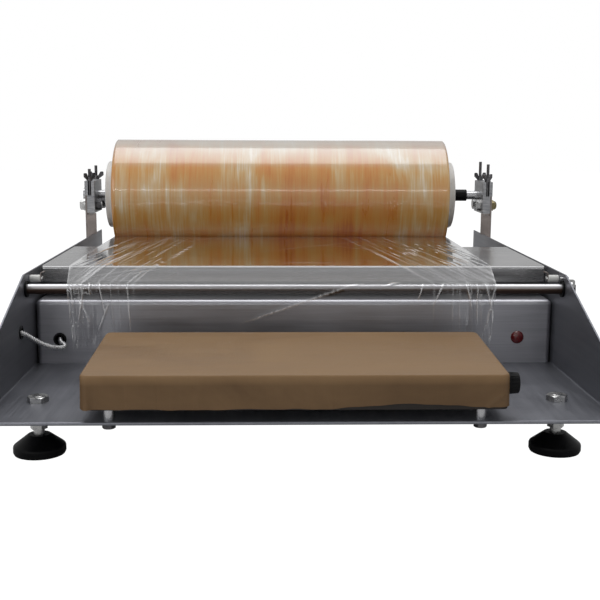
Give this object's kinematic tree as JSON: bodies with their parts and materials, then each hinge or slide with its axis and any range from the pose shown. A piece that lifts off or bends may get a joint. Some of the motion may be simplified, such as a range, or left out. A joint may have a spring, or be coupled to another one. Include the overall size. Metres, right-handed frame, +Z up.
{
  "type": "cling film wrapping machine",
  "caption": "Tabletop wrapper: folded steel tray with a clamped film roll, a film deck, a heated cutter bar, a tilted sealing plate and levelling feet.",
  "frame": {"origin": "on the ground, under the centre of the overall box", "axes": "+Z up, +Y from the sealing plate at the front to the film roll at the rear, +X to the right"},
  "size_m": [0.576, 0.6704, 0.276],
  "materials": {
    "stainless_sheet": "fine brushed grain, half gloss",
    "zinc_steel": "bright zinc plate",
    "steel": "turned or rolled steel",
    "dark_steel": "dark plated steel",
    "conduit_steel": "ribbed bright steel conduit",
    "dark_bar": "dark brown non-stick coating, half gloss",
    "aluminium": "milled aluminium",
    "element": "heat-tinted strip",
    "insulation": "mineral fibre pad",
    "brass": "plain brass",
    "red_lens": "dark red faceted lens",
    "black_plastic": "black moulded plastic",
    "white_plastic": "white moulded plastic",
    "black_rubber": "black rubber",
    "brown_cloth": "smooth brown coated glass cloth",
    "core_board": "wound board tube",
    "amber_film": "tight clear film wound to an amber gloss",
    "clear_film": "thin clear film"
  },
  "bodies": {
    "frame": {"tray_pan": "stainless_sheet", "foot_nuts": "zinc_steel", "platform_deck": "stainless_sheet", "panel_screws": "zinc_steel", "control_box_cover": "stainless_sheet", "lamp_lens": "red_lens", "lamp_body": "black_plastic", "terminal_block": "white_plastic", "terminal_screws": "brass", "cutter_bar": "dark_bar", "bar_heater_rod": "steel", "bar_bushes": "black_plastic", "bar_terminal_bracket": "zinc_steel", "wire_insulators": "white_plastic", "insulator_screws": "zinc_steel", "terminal_tags": "steel", "grommets": "black_rubber", "cable_gland": "black_plastic", "conduit": "conduit_steel", "bar_lead": "black_rubber", "hot_plate_housing": "stainless_sheet", "heating_plate": "aluminium", "heating_element": "element", "insulation_pad": "insulation", "plate_base": "zinc_steel", "thermostat_body": "black_plastic", "plate_cloth": "brown_cloth", "standoffs": "steel", "standoff_bolts": "zinc_steel", "roll_shaft": "steel", "shaft_end_collar": "steel", "shaft_sleeve": "black_plastic", "roll_posts": "steel", "post_spacers": "zinc_steel", "bracket_bolts_and_washers": "zinc_steel", "bracket_nuts": "dark_steel", "cap_nuts": "brass", "clamp_blocks": "aluminium", "clamp_studs": "zinc_steel", "film_web": "clear_film"},
    "roll": {"film_roll": "amber_film", "roll_core": "core_board", "core_plug_left": "white_plastic", "core_plug_right": "white_plastic"},
    "knob": {"thermostat_knob": "black_plastic", "thermostat_spindle": "steel"},
    "cap_left": {"clamp_cap_left": "aluminium"},
    "cap_right": {"clamp_cap_right": "aluminium"},
    "foot_front_left": {"foot_stud_front_left": "zinc_steel", "foot_pad_front_left": "black_plastic"},
    "foot_front_right": {"foot_stud_front_right": "zinc_steel", "foot_pad_front_right": "black_plastic"},
    "foot_rear_left": {"foot_stud_rear_left": "zinc_steel", "foot_pad_rear_left": "black_plastic"},
    "foot_rear_right": {"foot_stud_rear_right": "zinc_steel", "foot_pad_rear_right": "black_plastic"},
    "nut_left_front": {"wing_nut_left_front": "dark_steel"},
    "nut_left_rear": {"wing_nut_left_rear": "dark_steel"},
    "nut_right_front": {"wing_nut_right_front": "dark_steel"},
    "nut_right_rear": {"wing_nut_right_rear": "dark_steel"}
  },
  "joints": [
    {"name": "roll_spin", "type": "hinge", "parent": "frame", "child": "roll", "pos_m": [0, 0.25975, 0.2005], "axis": [1, 0, 0], "continuous": true},
    {"name": "knob_turn", "type": "hinge", "parent": "frame", "child": "knob", "pos_m": [0.18, -0.31682, 0.07656], "axis": [1, 0, 0], "range_deg": [-300, 0]},
    {"name": "cap_left_lift", "type": "slide", "parent": "frame", "child": "cap_left", "axis": [0, 0, 1], "range_m": [0, 0.012]},
    {"name": "cap_right_lift", "type": "slide", "parent": "frame", "child": "cap_right", "axis": [0, 0, 1], "range_m": [0, 0.012]},
    {"name": "foot_front_left_level", "type": "slide", "parent": "frame", "child": "foot_front_left", "axis": [0, 0, 1], "range_m": [-0.004, 0.01]},
    {"name": "foot_front_right_level", "type": "slide", "parent": "frame", "child": "foot_front_right", "axis": [0, 0, 1], "range_m": [-0.004, 0.01]},
    {"name": "foot_rear_left_level", "type": "slide", "parent": "frame", "child": "foot_rear_left", "axis": [0, 0, 1], "range_m": [-0.004, 0.01]},
    {"name": "foot_rear_right_level", "type": "slide", "parent": "frame", "child": "foot_rear_right", "axis": [0, 0, 1], "range_m": [-0.004, 0.01]},
    {"name": "nut_left_front_turn", "type": "hinge", "parent": "cap_left", "child": "nut_left_front", "pos_m": [-0.27285, 0.23375, 0.2205], "axis": [0, 0, 1], "continuous": true},
    {"name": "nut_left_rear_turn", "type": "hinge", "parent": "cap_left", "child": "nut_left_rear", "pos_m": [-0.27285, 0.28575, 0.2205], "axis": [0, 0, 1], "continuous": true},
    {"name": "nut_right_front_turn", "type": "hinge", "parent": "cap_right", "child": "nut_right_front", "pos_m": [0.27285, 0.23375, 0.2205], "axis": [0, 0, 1], "continuous": true},
    {"name": "nut_right_rear_turn", "type": "hinge", "parent": "cap_right", "child": "nut_right_rear", "pos_m": [0.27285, 0.28575, 0.2205], "axis": [0, 0, 1], "continuous": true}
  ]
}
